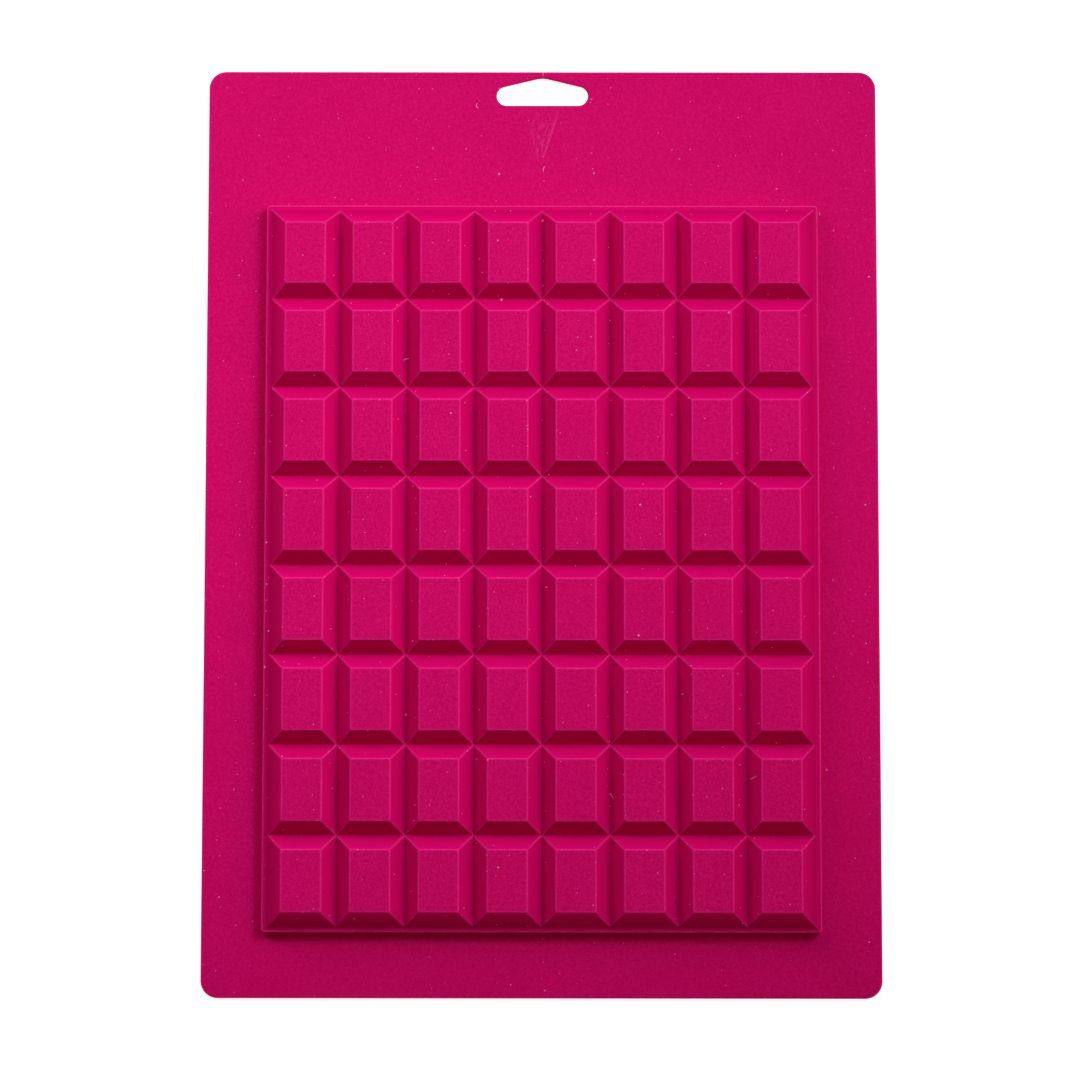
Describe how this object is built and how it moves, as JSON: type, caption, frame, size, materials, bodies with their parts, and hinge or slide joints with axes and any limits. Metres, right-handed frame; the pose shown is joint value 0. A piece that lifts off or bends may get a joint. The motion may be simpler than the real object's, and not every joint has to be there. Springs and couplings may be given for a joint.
{
  "type": "break-apart bar mould",
  "caption": "Flexible silicone mould sheet with a hang hole and a raised block of bevelled cavities that cast a break-apart bar of soap, wax or chocolate.",
  "frame": {"origin": "middle of the sheet, on the plane that the rim rests on with the cavities facing down", "axes": "+X across the sheet, +Y along the sheet towards the hang hole, +Z out of the outside of the cavity floors"},
  "size_m": [0.234, 0.323, 0.0122],
  "materials": {
    "silicone": "matte, finely grained moulded silicone"
  },
  "bodies": {
    "row_4": {"cavity_row_4": "silicone"},
    "row_3": {"cavity_row_3": "silicone"},
    "row_2": {"cavity_row_2": "silicone"},
    "row_1": {"cavity_row_1": "silicone"},
    "hang_margin": {"hang_margin": "silicone"},
    "row_5": {"cavity_row_5": "silicone"},
    "row_6": {"cavity_row_6": "silicone"},
    "row_7": {"cavity_row_7": "silicone"},
    "row_8": {"cavity_row_8": "silicone"},
    "lower_margin": {"lower_margin": "silicone"}
  },
  "joints": [
    {"name": "hang_margin_bend", "type": "hinge", "parent": "row_1", "child": "hang_margin", "pos_m": [0, 0.1131, 0.0015], "axis": [1, 0, 0], "range_deg": [0, 20], "stiffness_Nm_per_rad": 0.12},
    {"name": "groove_1_2_bend", "type": "hinge", "parent": "row_2", "child": "row_1", "pos_m": [0, 0.07995, 0.0067], "axis": [1, 0, 0], "range_deg": [0, 20], "stiffness_Nm_per_rad": 0.12},
    {"name": "groove_2_3_bend", "type": "hinge", "parent": "row_3", "child": "row_2", "pos_m": [0, 0.049, 0.0067], "axis": [1, 0, 0], "range_deg": [0, 20], "stiffness_Nm_per_rad": 0.12},
    {"name": "groove_3_4_bend", "type": "hinge", "parent": "row_4", "child": "row_3", "pos_m": [0, 0.01805, 0.0067], "axis": [1, 0, 0], "range_deg": [0, 20], "stiffness_Nm_per_rad": 0.12},
    {"name": "groove_4_5_bend", "type": "hinge", "parent": "row_4", "child": "row_5", "pos_m": [0, -0.0129, 0.0067], "axis": [-1, 0, 0], "range_deg": [0, 20], "stiffness_Nm_per_rad": 0.12},
    {"name": "groove_5_6_bend", "type": "hinge", "parent": "row_5", "child": "row_6", "pos_m": [0, -0.04385, 0.0067], "axis": [-1, 0, 0], "range_deg": [0, 20], "stiffness_Nm_per_rad": 0.12},
    {"name": "groove_6_7_bend", "type": "hinge", "parent": "row_6", "child": "row_7", "pos_m": [0, -0.0748, 0.0067], "axis": [-1, 0, 0], "range_deg": [0, 20], "stiffness_Nm_per_rad": 0.12},
    {"name": "groove_7_8_bend", "type": "hinge", "parent": "row_7", "child": "row_8", "pos_m": [0, -0.10575, 0.0067], "axis": [-1, 0, 0], "range_deg": [0, 20], "stiffness_Nm_per_rad": 0.12},
    {"name": "lower_margin_bend", "type": "hinge", "parent": "row_8", "child": "lower_margin", "pos_m": [0, -0.1389, 0.0015], "axis": [-1, 0, 0], "range_deg": [0, 20], "stiffness_Nm_per_rad": 0.12}
  ]
}
